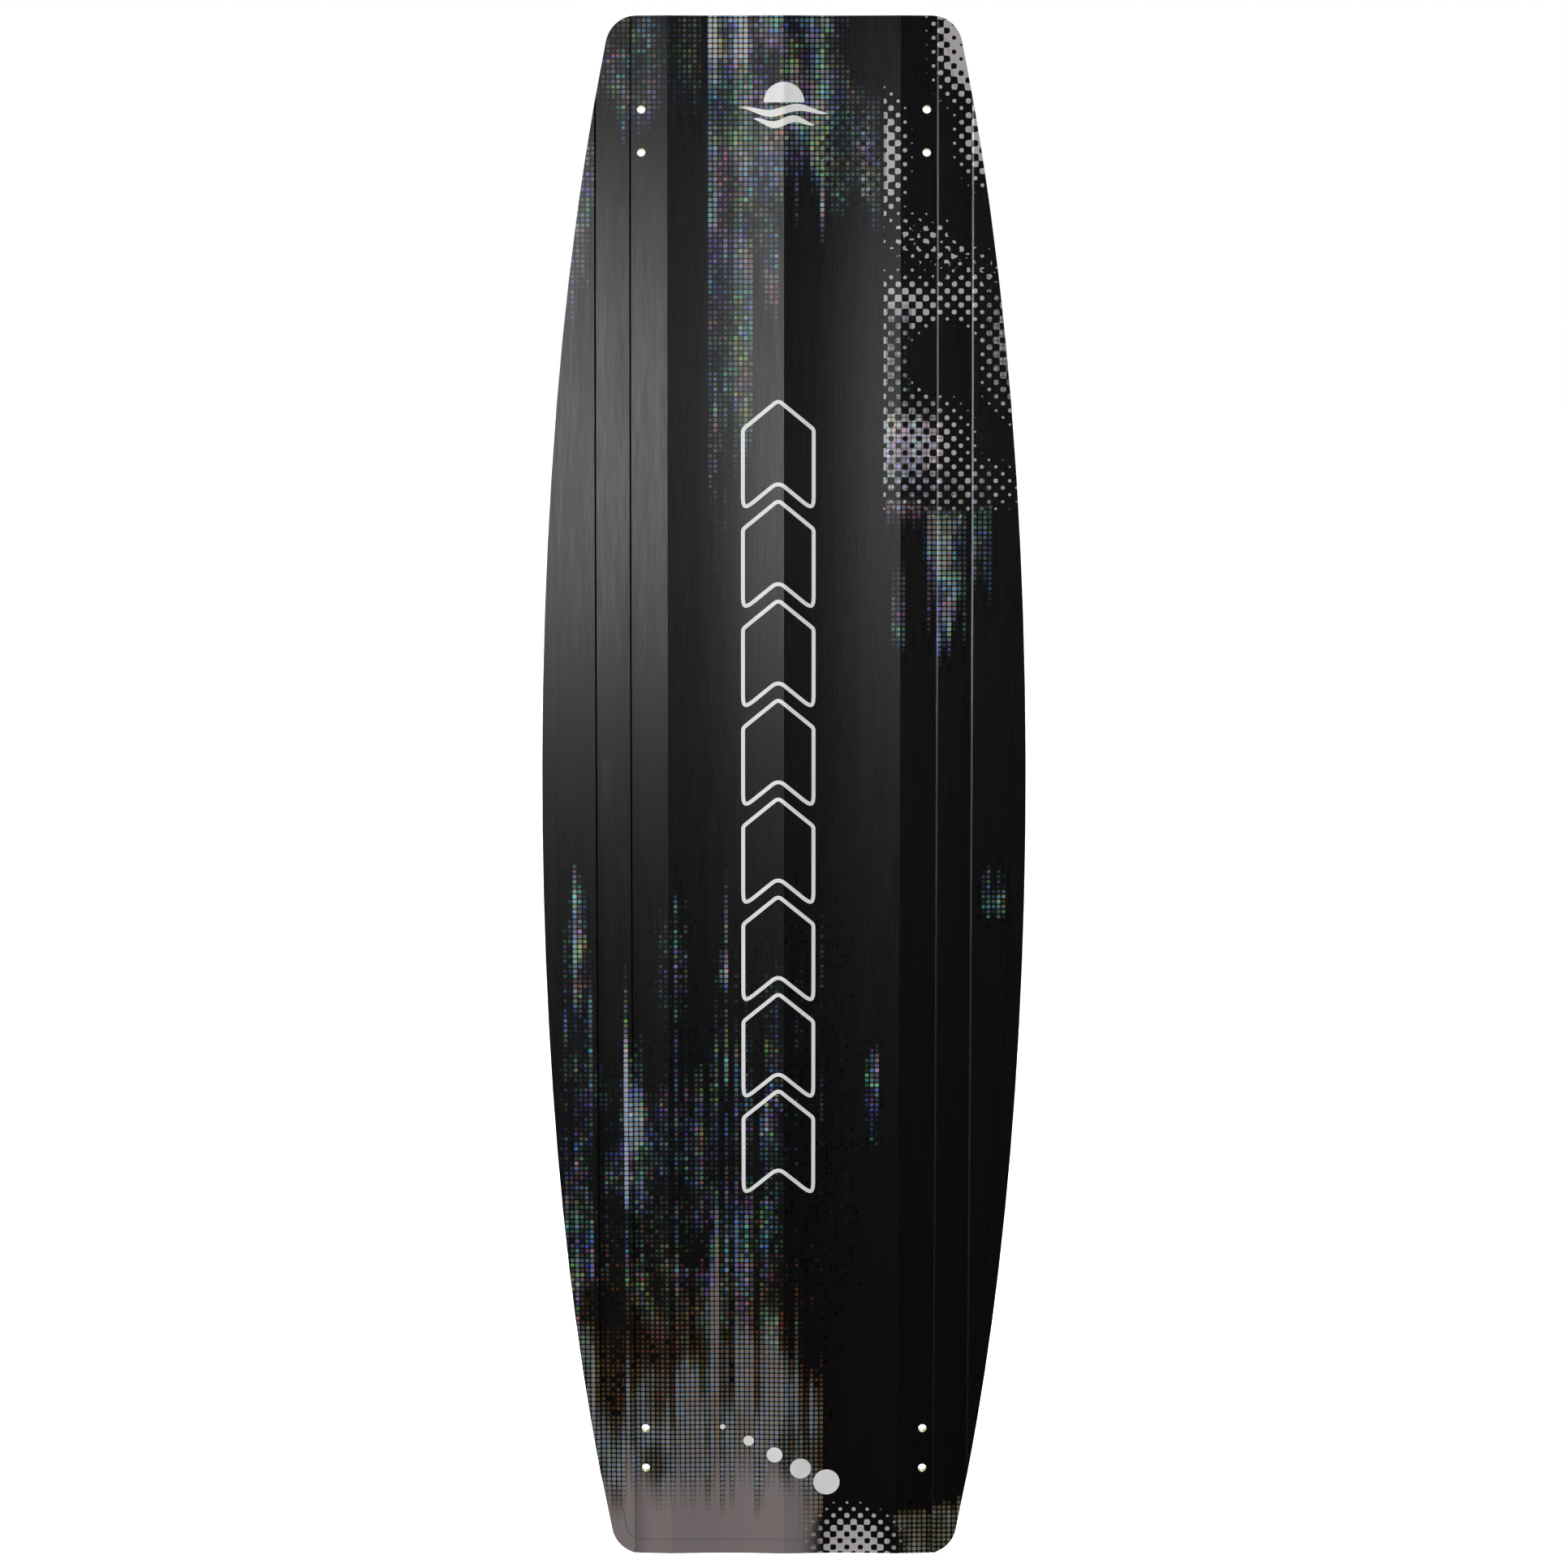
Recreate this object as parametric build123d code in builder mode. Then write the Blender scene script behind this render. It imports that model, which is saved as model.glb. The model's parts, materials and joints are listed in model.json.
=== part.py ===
from build123d import *
import os
from math import asin, cos, degrees, radians, sin, sqrt

# Twin-tip kiteboard, bare (no fins, pads, straps or grab handle), in millimetres.
# It stands on one tip: Z runs along its length, X across its width, the base (the water
# side) faces -Y and the deck faces +Y.  The origin is the centre of its bounding box.
os.makedirs("parts", exist_ok=True)

# ---- overall size -------------------------------------------------------------------
LENGTH = 1390.0
WIDTH = 430.0
THICKNESS = 12.0            # on the centre line, half way along
TIP_THINNING = 3.5          # how much thinner the tips are on the centre line
ROCKER_RADIUS = 5950.0      # lengthwise curve of the base

# ---- outline: half width = WIDTH / 2 - WAIST_CURVE z^2 - SHOULDER_CURVE z^4 ----------------
WAIST_CURVE = 1.08e-4
SHOULDER_CURVE = 4.4e-11
SIDE_STATION = 180.0        # the side curve runs through points this far apart
SIDE_STATIONS = 4           # each way from the middle
CORNER_RADIUS = 28.0

# ---- base relief: distance from the centre line, depth below the ridge ----------------
RIDGE_SLOPE = 0.095
VALLEY = (57.0, 2.7)
CREST = (103.0, 0.85)       # a hard edge, where the straight ramp that the fins seat on starts
CREST_SLOPE = 0.052
FIRST_STEP_FOOT = (135.0, 3.1)
FIRST_STEP_TOP = (136.5, 0.9)
MIDDLE_BAND = (152.0, 1.85)
SECOND_STEP_FOOT = (166.0, 2.9)
SECOND_STEP_TOP = (167.5, 0.9)
EDGE_BAND_SLOPE = 0.053
SECTION_HALF_WIDTH = 232.0  # the sections run past the outline and are trimmed to it

# ---- layers ---------------------------------------------------------------------------
BASE_SHEET = 0.6
LAMINATE = 0.5
TOP_SHEET = 0.5
PATCH = 0.5
BASE_SKIN = BASE_SHEET + LAMINATE
DECK_SKIN = TOP_SHEET + LAMINATE
RAIL_WIDTH = 12.0
RAIL_JOINT = 640.0          # where the side rails meet the tip rails
GROOVE_INSET = 13.0         # witness line in the base sheet above the rail's inner edge
GROOVE_WIDTH = 1.2
GROOVE_DEPTH = 0.3
CENTRE_CORE = 60.0          # half width of the middle core blank
STRINGER_EDGE = 100.0       # outer edge of the insert stringers

# ---- fin holes --------------------------------------------------------------------------
FIN_X = 126.0
FIN_Z = 594.0               # middle of each pair of holes
FIN_PITCH = 38.0
FIN_BORE = 7.5
FIN_PLUG = 16.0

# ---- threaded inserts ---------------------------------------------------------------------
STANCE_X = 80.0
STANCE_FIRST = 232.5        # innermost pair, from the middle of the board
STANCE_PITCH = 25.0
STANCE_PAIRS = 6
HANDLE_Z = 115.0
INSERT_HEIGHT = 6.8
INSERT_NECK = 8.0
INSERT_FLANGE = 12.0
INSERT_FLANGE_HEIGHT = 2.0
INSERT_BORE = 5.0           # minor diameter of the M6 thread
INSERT_BORE_DEPTH = 6.0
PATCH_MARGIN = 18.0         # the glass patch runs this far past the inserts

# ---- worked out from the above ----------------------------------------------------------
RAMP_SLOPE = (FIRST_STEP_FOOT[1] - CREST[1]) / (FIRST_STEP_FOOT[0] - CREST[0])
FIN_DEPTH = CREST[1] + RAMP_SLOPE * (FIN_X - CREST[0])
HALF_LENGTH = LENGTH / 2
HALF_WIDTH = WIDTH / 2
DECK_RADIUS = 1 / (1 / ROCKER_RADIUS - 2 * TIP_THINNING / HALF_LENGTH**2)
DEPTH = THICKNESS + DECK_RADIUS - sqrt(DECK_RADIUS**2 - HALF_LENGTH**2)
BASE_Y = -DEPTH / 2
DECK_Y = BASE_Y + THICKNESS
BASE_PIVOT = BASE_Y + ROCKER_RADIUS
DECK_PIVOT = DECK_Y + DECK_RADIUS
SWING = degrees(asin(HALF_LENGTH / ROCKER_RADIUS)) + 0.5
REACH = 2 * DEPTH
THROUGH = 4 * THICKNESS


def swing_plane(pivot_y):
    """Section plane through the rocker axis, turned up past the top tip."""
    lean = radians(SWING)
    return Plane(origin=(0, pivot_y, 0), x_dir=(1, 0, 0), z_dir=(0, sin(lean), cos(lean)))


def swing(profile, pivot_y, mode=Mode.ADD):
    """Sweep a section round the rocker axis from tip to tip."""
    rocker_axis = Axis((0, pivot_y, 0), (1, 0, 0))
    revolve(profile, axis=rocker_axis, revolution_arc=2 * SWING, mode=mode)


def base_contour(level):
    """Right half of the base relief: keel ridge, concave, crest and two shingle steps."""
    def at(point):
        return (point[0], level + point[1])

    edge_depth = SECOND_STEP_TOP[1] + EDGE_BAND_SLOPE * (SECTION_HALF_WIDTH - SECOND_STEP_TOP[0])
    Spline(at((0, 0)), at(VALLEY), at(CREST), tangents=[(1, RIDGE_SLOPE), (1, -CREST_SLOPE)])
    Line(at(CREST), at(FIRST_STEP_FOOT))
    Line(at(FIRST_STEP_FOOT), at(FIRST_STEP_TOP))
    ThreePointArc(at(FIRST_STEP_TOP), at(MIDDLE_BAND), at(SECOND_STEP_FOOT))
    Line(at(SECOND_STEP_FOOT), at(SECOND_STEP_TOP))
    Line(at(SECOND_STEP_TOP), at((SECTION_HALF_WIDTH, edge_depth)))
    return level + edge_depth


def base_section(start, end):
    """Section of the layer from `start` to `end` below the base surface."""
    with BuildSketch(swing_plane(BASE_PIVOT)) as section:
        with BuildLine():
            near = base_contour(start - ROCKER_RADIUS)
            far = base_contour(end - ROCKER_RADIUS)
            Line((SECTION_HALF_WIDTH, near), (SECTION_HALF_WIDTH, far))
            mirror(about=Plane.YZ)
        make_face()
    return section.sketch


def behind_base_section(start):
    """Section of everything deeper than `start` below the base surface."""
    top = 3 * THICKNESS - ROCKER_RADIUS
    with BuildSketch(swing_plane(BASE_PIVOT)) as section:
        with BuildLine():
            near = base_contour(start - ROCKER_RADIUS)
            Line((SECTION_HALF_WIDTH, near), (SECTION_HALF_WIDTH, top))
            Line((SECTION_HALF_WIDTH, top), (0, top))
            mirror(about=Plane.YZ)
        make_face()
    return section.sketch


def deck_layer(start, end, mode=Mode.ADD):
    """The layer from `start` to `end` below the deck, which is flat from rail to rail."""
    reach_z = 1.03 * HALF_LENGTH

    def at(depth, z):
        return (DECK_PIVOT - sqrt((DECK_RADIUS + depth) ** 2 - z**2), z)

    with BuildSketch(Plane.YZ) as profile:
        with BuildLine():
            ThreePointArc(at(start, -reach_z), at(start, 0), at(start, reach_z))
            Line(at(start, reach_z), at(end, reach_z))
            ThreePointArc(at(end, reach_z), at(end, 0), at(end, -reach_z))
            Line(at(end, -reach_z), at(start, -reach_z))
        make_face()
    extrude(profile.sketch, amount=SECTION_HALF_WIDTH, both=True, mode=mode)


def half_width(z):
    """Half the board's width at a distance z from the middle."""
    return HALF_WIDTH - WAIST_CURVE * z**2 - SHOULDER_CURVE * z**4


def side_point(z, inset):
    """Point `inset` inside the right-hand edge, square to the edge at z."""
    slope = 2 * WAIST_CURVE * z + 4 * SHOULDER_CURVE * z**3
    stretch = sqrt(1 + slope**2)
    return (half_width(z) - inset / stretch, z - inset * slope / stretch)


def outline(inset=0.0):
    """The board seen square on: curved sides, straight tip edges, rounded corners."""
    end = HALF_LENGTH - inset
    stations = [SIDE_STATION * step for step in range(-SIDE_STATIONS, SIDE_STATIONS + 1)]
    with BuildSketch(Plane.XZ) as shape:
        with BuildLine():
            side = Spline(*[side_point(z, inset) for z in stations])
            Line(side @ 0, (0, (side @ 0).Y))
            Line(side @ 1, (0, (side @ 1).Y))
            mirror(about=Plane.YZ)
        make_face()
        Rectangle(2 * WIDTH, 2 * end, mode=Mode.INTERSECT)
        corners = [v for v in shape.vertices() if abs(v.Y) > end - 1]
        fillet(corners, radius=CORNER_RADIUS - inset)
    return shape.sketch


def trim_to_outline(inset=0.0):
    """Keep what lies inside the outline."""
    extrude(outline(inset), amount=REACH, both=True, mode=Mode.INTERSECT)


def base_normal_plane(x, z, depth):
    """Plane on the base, `depth` below the ridge, with its normal out of the base."""
    lean = asin(z / ROCKER_RADIUS)
    normal = Vector(0, -cos(lean), sin(lean))
    origin = Vector(x, BASE_PIVOT, 0) + normal * (ROCKER_RADIUS - depth)
    return Plane(origin=origin, x_dir=(1, 0, 0), z_dir=normal)


def deck_normal_plane(x, z):
    """Plane on the flat of the deck with its normal out of the deck."""
    lean = asin(z / DECK_RADIUS)
    normal = Vector(0, cos(lean), -sin(lean))
    origin = Vector(x, DECK_PIVOT, 0) - normal * DECK_RADIUS
    return Plane(origin=origin, x_dir=(1, 0, 0), z_dir=normal)


def fin_places():
    """Name and locations of the two holes of each fin, in line along the board."""
    places = {}
    for tip, z in (("top", FIN_Z), ("bottom", -FIN_Z)):
        for side, x in (("left", -FIN_X), ("right", FIN_X)):
            pair = Location(base_normal_plane(x, z, FIN_DEPTH))
            holes = [pair * Location((0, step, 0)) for step in (-FIN_PITCH / 2, FIN_PITCH / 2)]
            places[tip + "_" + side] = holes
    return places


def stance_places(end):
    """Locations of one foot's inserts; `end` is 1 for the top half, -1 for the bottom."""
    rows = [STANCE_FIRST + STANCE_PITCH * row for row in range(STANCE_PAIRS)]
    return [Location(deck_normal_plane(x, end * z)) for z in rows for x in (-STANCE_X, STANCE_X)]


def handle_places():
    """Locations of the two handle inserts, which are parallel, square to the board."""
    deck_y = DECK_PIVOT - sqrt(DECK_RADIUS**2 - HANDLE_Z**2)
    square = Plane(origin=(0, deck_y, 0), x_dir=(1, 0, 0), z_dir=(0, 1, 0))
    return [Location(square) * Location((0, z, 0)) for z in (-HANDLE_Z, HANDLE_Z)]


FIN_PLACES = fin_places()
ALL_FIN_HOLES = [hole for holes in FIN_PLACES.values() for hole in holes]
TOP_STANCE = stance_places(1)
BOTTOM_STANCE = stance_places(-1)
HANDLE = handle_places()
ALL_INSERTS = TOP_STANCE + BOTTOM_STANCE + HANDLE


def drill(places, diameter):
    """Through holes at the given locations."""
    with Locations(*places):
        Cylinder(diameter / 2, THROUGH, mode=Mode.SUBTRACT)


def insert_body(places, mode=Mode.ADD):
    """Outside shape of the inserts: a neck up to the deck on a wide buried flange."""
    top = (Align.CENTER, Align.CENTER, Align.MAX)
    foot = (Align.CENTER, Align.CENTER, Align.MIN)
    with Locations(*places):
        Cylinder(INSERT_NECK / 2, INSERT_HEIGHT, align=top, mode=mode)
    with Locations(*[place * Location((0, 0, -INSERT_HEIGHT)) for place in places]):
        Cylinder(INSERT_FLANGE / 2, INSERT_FLANGE_HEIGHT, align=foot, mode=mode)


def write(part, name):
    """Label one finished piece and write its STEP file."""
    part.label = name
    export_step(part, f"parts/{name}.step")


# ---- base sheet: printed film, with a fine line above the rail's inner edge -----------------
with BuildPart() as groove_stock:
    swing(base_section(-BASE_SHEET, GROOVE_DEPTH), BASE_PIVOT)
    trim_to_outline(GROOVE_INSET)
    extrude(outline(GROOVE_INSET + GROOVE_WIDTH), amount=REACH, both=True, mode=Mode.SUBTRACT)

with BuildPart() as base_sheet:
    swing(base_section(0, BASE_SHEET), BASE_PIVOT)
    trim_to_outline()
    add(groove_stock.part, mode=Mode.SUBTRACT)
    drill(ALL_FIN_HOLES, FIN_BORE)
write(base_sheet.part, "base_sheet")

# ---- base laminate: glass under the base sheet ------------------------------------------
with BuildPart() as base_laminate:
    swing(base_section(BASE_SHEET, BASE_SKIN), BASE_PIVOT)
    trim_to_outline()
    drill(ALL_FIN_HOLES, FIN_PLUG)
write(base_laminate.part, "base_laminate")

# ---- top sheet and deck laminate ----------------------------------------------------------
with BuildPart() as top_sheet:
    deck_layer(0, TOP_SHEET)
    trim_to_outline()
    drill(ALL_FIN_HOLES, FIN_BORE)
    drill(ALL_INSERTS, INSERT_NECK)
write(top_sheet.part, "top_sheet")

with BuildPart() as deck_laminate:
    deck_layer(TOP_SHEET, DECK_SKIN)
    trim_to_outline()
    drill(ALL_FIN_HOLES, FIN_PLUG)
    drill(ALL_INSERTS, INSERT_NECK)
write(deck_laminate.part, "deck_laminate")

# ---- glass patches that spread the foot loads round the stance inserts ----------------------
stance_middle = STANCE_FIRST + STANCE_PITCH * (STANCE_PAIRS - 1) / 2
patch_length = STANCE_PITCH * (STANCE_PAIRS - 1) + 2 * PATCH_MARGIN
patch_width = 2 * (STANCE_X + PATCH_MARGIN)
with BuildPart() as patch_stock:
    deck_layer(DECK_SKIN, DECK_SKIN + PATCH)
    with BuildSketch(Plane.XZ):
        with Locations((0, stance_middle), (0, -stance_middle)):
            Rectangle(patch_width, patch_length)
    extrude(amount=REACH, both=True, mode=Mode.INTERSECT)

for name, end, places in (("top_stance_patch", 1, TOP_STANCE),
                          ("bottom_stance_patch", -1, BOTTOM_STANCE)):
    with BuildPart() as stance_patch:
        add(patch_stock.part)
        with Locations((0, 0, end * HALF_LENGTH / 2)):
            Box(WIDTH, REACH, HALF_LENGTH, mode=Mode.INTERSECT)
        drill(places, INSERT_NECK)
    write(stance_patch.part, name)

# ---- everything between the laminates: rail ring outside, wood core inside --------------------
with BuildPart() as between_laminates:
    extrude(outline(), amount=REACH, both=True)
    swing(behind_base_section(BASE_SKIN), BASE_PIVOT, mode=Mode.INTERSECT)
    deck_layer(DECK_SKIN, 3 * THICKNESS, mode=Mode.INTERSECT)

with BuildPart() as rail_stock:
    add(between_laminates.part)
    extrude(outline(RAIL_WIDTH), amount=REACH, both=True, mode=Mode.SUBTRACT)

for name, side in (("rail_left", -1), ("rail_right", 1)):
    with BuildPart() as side_rail:
        add(rail_stock.part)
        with Locations((side * HALF_WIDTH, 0, 0)):
            Box(WIDTH, REACH, 2 * RAIL_JOINT, mode=Mode.INTERSECT)
    write(side_rail.part, name)

for name, end in (("tip_rail_top", 1), ("tip_rail_bottom", -1)):
    with BuildPart() as tip_rail:
        add(rail_stock.part)
        with Locations((0, 0, end * (RAIL_JOINT + HALF_LENGTH / 2))):
            Box(2 * WIDTH, REACH, HALF_LENGTH, mode=Mode.INTERSECT)
    write(tip_rail.part, name)

with BuildPart() as core_stock:
    add(between_laminates.part)
    trim_to_outline(RAIL_WIDTH)
    add(patch_stock.part, mode=Mode.SUBTRACT)

with BuildPart() as core_centre:
    add(core_stock.part)
    Box(2 * CENTRE_CORE, REACH, LENGTH, mode=Mode.INTERSECT)
    insert_body(HANDLE, mode=Mode.SUBTRACT)
write(core_centre.part, "core_centre")

for name, side in (("core_stringer_left", -1), ("core_stringer_right", 1)):
    with BuildPart() as stringer:
        add(core_stock.part)
        with Locations((side * (CENTRE_CORE + STRINGER_EDGE) / 2, 0, 0)):
            Box(STRINGER_EDGE - CENTRE_CORE, REACH, LENGTH, mode=Mode.INTERSECT)
        insert_body(TOP_STANCE + BOTTOM_STANCE, mode=Mode.SUBTRACT)
    write(stringer.part, name)

for name, side in (("core_outer_left", -1), ("core_outer_right", 1)):
    with BuildPart() as outer_core:
        add(core_stock.part)
        with Locations((side * (STRINGER_EDGE + HALF_WIDTH) / 2, 0, 0)):
            Box(HALF_WIDTH - STRINGER_EDGE, REACH, LENGTH, mode=Mode.INTERSECT)
        drill(ALL_FIN_HOLES, FIN_PLUG)
    write(outer_core.part, name)

# ---- cast resin plugs that the fin holes are drilled through ------------------------------
with BuildPart() as plug_stock:
    extrude(outline(), amount=REACH, both=True)
    swing(behind_base_section(BASE_SHEET), BASE_PIVOT, mode=Mode.INTERSECT)
    deck_layer(TOP_SHEET, 3 * THICKNESS, mode=Mode.INTERSECT)

for name, places in FIN_PLACES.items():
    with BuildPart() as fin_plug:
        with Locations(*places):
            Cylinder(FIN_PLUG / 2, THROUGH)
        add(plug_stock.part, mode=Mode.INTERSECT)
        drill(places, FIN_BORE)
    write(fin_plug.part, "fin_plug_" + name)

# ---- stainless inserts, threaded M6 from the deck side ----------------------------------------
for name, places in (("stance_inserts_top", TOP_STANCE), ("stance_inserts_bottom", BOTTOM_STANCE),
                     ("handle_inserts", HANDLE)):
    with BuildPart() as inserts:
        insert_body(places)
        with Locations(*places):
            Cylinder(INSERT_BORE / 2, INSERT_BORE_DEPTH,
                     align=(Align.CENTER, Align.CENTER, Align.MAX), mode=Mode.SUBTRACT)
    write(inserts.part, name)
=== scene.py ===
"""Looks for the bare twin-tip kiteboard: printed base film, deck film, rails, inserts and print marks."""
import json
import math

import bmesh
import bpy
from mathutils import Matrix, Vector


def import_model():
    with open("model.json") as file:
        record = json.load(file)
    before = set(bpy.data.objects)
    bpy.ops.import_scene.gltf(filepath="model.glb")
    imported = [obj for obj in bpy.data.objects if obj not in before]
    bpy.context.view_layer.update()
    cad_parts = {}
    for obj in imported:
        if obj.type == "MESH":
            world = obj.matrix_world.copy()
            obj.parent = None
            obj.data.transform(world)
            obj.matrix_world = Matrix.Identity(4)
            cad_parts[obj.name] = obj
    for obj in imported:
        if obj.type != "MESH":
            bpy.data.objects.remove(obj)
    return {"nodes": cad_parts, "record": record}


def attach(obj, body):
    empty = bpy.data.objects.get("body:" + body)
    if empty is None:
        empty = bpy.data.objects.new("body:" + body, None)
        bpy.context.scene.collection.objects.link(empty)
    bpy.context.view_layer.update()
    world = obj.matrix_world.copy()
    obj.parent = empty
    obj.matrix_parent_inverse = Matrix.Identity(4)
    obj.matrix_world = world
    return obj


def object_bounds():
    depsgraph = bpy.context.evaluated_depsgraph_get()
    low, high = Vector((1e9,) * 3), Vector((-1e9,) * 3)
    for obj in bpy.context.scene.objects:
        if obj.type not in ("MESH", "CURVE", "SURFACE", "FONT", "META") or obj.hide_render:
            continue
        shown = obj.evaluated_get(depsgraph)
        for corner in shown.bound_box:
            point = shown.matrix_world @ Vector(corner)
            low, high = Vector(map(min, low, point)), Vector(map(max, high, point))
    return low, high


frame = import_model()
cad_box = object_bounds()
MM = 0.001
HALF_WIDTH = cad_box[1].x / MM
HALF_LENGTH = cad_box[1].z / MM

# ---- camera, at the photograph's viewing angle ---------------------------------------
CAMERA_DISTANCE = 3.5       # from the belly of the base
CAMERA_HEIGHT = 0.366
CAMERA_PITCH = math.radians(5.68)
LENS = 90.9
SENSOR = 36.0
FLOOR_SIZE = 400            # wide enough that its far edge doesn't show

# ---- printed pattern, in millimetres from the middle of the board --------------------------
CELL = 4.5                  # pitch of the mosaic
HALFTONE = 12.35            # period of the halftone
HALFTONE_ORIGIN = (2.0, 2.3)
STRIP_LEFT = 88.0           # the halftone on the right starts at this straight edge
INK_BLACK = (0.0022, 0.0022, 0.0024)
INK_GREY = (0.26, 0.245, 0.25)
INK_LILAC = (0.275, 0.27, 0.30)
INK_DUSK = (0.185, 0.20, 0.25)
INK_TAUPE = (0.121, 0.100, 0.101)
WHITE = (1.0, 1.0, 1.0)
FLAME_WARM = (1.9, 1.05, 0.70)      # tint of the dusk ink at the tips of the flames
FLAME_COOL = (0.80, 0.90, 1.20)     # and lower down in them
FRINGE = 0.07               # how far red and blue are out of register, in cells
DOT_EDGE = 0.06             # softness of a square's edge, in cells
COLUMN_SEED, GROUP_SEED, LIT_SEED, COLOUR_SEED, GLOW_SEED = 11, 13, 5, 7, 17
VECTOR_SOCKETS = 6          # first vector input of a Map Range node

# Heights on the board between which the mosaic changes, from its middle.
HALVES = (-100.0, 100.0)
VIVID_ENDS = (-100.0, 200.0)
LILAC_ABOVE = (-300.0, 100.0)
BANKS_START, BANKS_STOP = (-560.0, -500.0), (0.0, 100.0)
EVEN_BELOW, EVEN_ABOVE = (-600.0, -440.0), (-100.0, 350.0)
CHANNELS_SWAP = (-470.0, -380.0)
FLAMES_BELOW = (-400.0, -340.0)
CALM_BELOW = (-540.0, -420.0)
GLOW_FADES = (-540.0, -400.0)
TAUPE_BELOW = (-660.0, -610.0)
FLAMES_STOP = (40.0, 80.0)  # across the board, where the flames end on the right

# Mosaic fields: left, right, bottom, top, drip below, rise above, side softness, end softness, strength.
BASE_MOSAIC = (
    (-230, -100, 615, 760, 60, 0, 18, 26, 0.46),
    (-230, -160, 540, 640, 80, 0, 14, 34, 0.48),
    (-230, -168, 480, 600, 100, 0, 9, 50, 0.48),
    (-125, -72, 640, 760, 90, 0, 6, 34, 0.36),
    (-68, -30, 650, 760, 20, 0, 1, 40, 0.86),
    (-68, 60, 590, 760, 110, 0, 1, 34, 0.58),
    (-68, -4, 500, 640, 110, 0, 1, 50, 0.57),
    (-68, -26, 380, 560, 130, 0, 1, 60, 0.50),
    (-68, -50, 300, 430, 150, 0, 1, 60, 0.38),
    (-6, 2, 560, 640, 110, 0, 1, 30, 0.6),
    (40, 88, 545, 640, 60, 0, 10, 20, 0.56),
    (89, 112, 335, 440, 0, 0, 1, 18, 0.46),
    (89, 140, 262, 352, 20, 10, 1, 22, 0.62),
    (124, 160, 190, 290, 90, 0, 4, 30, 0.60),
    (165, 186, 215, 300, 90, 0, 4, 26, 0.46),
    (176, 230, 350, 470, 0, 0, 12, 22, 0.42),
    (93, 107, 165, 218, 50, 0, 2, 20, 0.44),
    (174, 198, -100, -60, 10, 10, 6, 14, 0.48),
    (-192, -176, -160, -80, 70, 50, 6, 40, 0.56),
    (-200, -168, -230, -150, 60, 40, 10, 50, 0.30),
    (-148, -120, -350, -275, 60, 110, 6, 60, 0.88),
    (-166, -102, -370, -270, 60, 60, 12, 60, 0.60),
    (-118, -82, -180, -100, 90, 60, 6, 40, 0.36),
    (-58, -50, -220, -120, 90, 80, 2, 50, 0.62),
    (-36, 52, -200, -140, 120, 60, 12, 50, 0.24),
    (-205, 6, -520, -330, 0, 280, 14, 70, 0.40),
    (0, 64, -470, -330, 0, 220, 14, 70, 0.22),
    (-205, -4, -640, -470, 0, 220, 14, 70, 0.46),
    (-20, 40, -600, -460, 0, 200, 14, 70, 0.26),
    (-72, -54, -720, -430, 0, 110, 5, 60, 0.88),
    (-96, -76, -720, -520, 0, 110, 6, 70, 0.85),
    (-116, -90, -720, -585, 0, 110, 8, 60, 0.85),
    (-60, 18, -720, -535, 0, 120, 12, 70, 0.72),
    (-205, 34, -760, -584, 0, 130, 10, 70, 0.80),
    (-240, 34, -760, -640, 0, 60, 10, 50, 1.0),
    (70, 88, -285, -235, 40, 30, 5, 24, 0.44),
    (98, 176, -730, -650, 0, 20, 10, 16, 0.58),
)
# Solid taupe at the bottom tip, with uneven rises.
BASE_TAUPE = ((-240, 30, -760, -660, 0, 70, 14, 44, 1.0),)
# Halftone fields: centre x and z, half width and half height, strength, and whether the field is
# cut off left of STRIP_LEFT.
BASE_HALFTONE = (
    (172, 674, 60, 84, 1.4, False),
    (188, 590, 50, 66, 1.1, False),
    (82, 572, 38, 92, 1.0, True),
    (118, 500, 48, 30, 0.62, True),
    (146, 482, 48, 28, 0.62, True),
    (188, 470, 40, 26, 0.55, True),
    (106, 440, 62, 46, 0.72, True),
    (156, 452, 56, 50, 0.50, True),
    (208, 410, 52, 96, 0.92, True),
    (84, 392, 40, 66, 0.80, True),
    (100, 318, 88, 72, 0.95, True),
    (150, 282, 84, 40, 0.52, True),
    (63, -690, 62, 58, 0.95, False),
)
# Where black dots break up the mosaic, and where chips are missing from the halftone: the same columns.
BLACK_DOTS = ((62, 568, 50, 84, 1.0, False),)
FRAGMENTS = ((136, 494, 74, 44, 1.0, False), (196, 470, 40, 34, 1.0, False))
# Plain black discs that interrupt the print: x, z, radius, softness.
BASE_DISCS = ((140, 395, 31, 7), (106, -592, 62, 10), (90, 668, 38, 18))

DECK_MOSAIC = (
    (-230, 230, 600, 760, 240, 0, 10, 60, 0.5),
    (-230, 230, -760, -600, 0, 240, 10, 60, 0.5),
)


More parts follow.
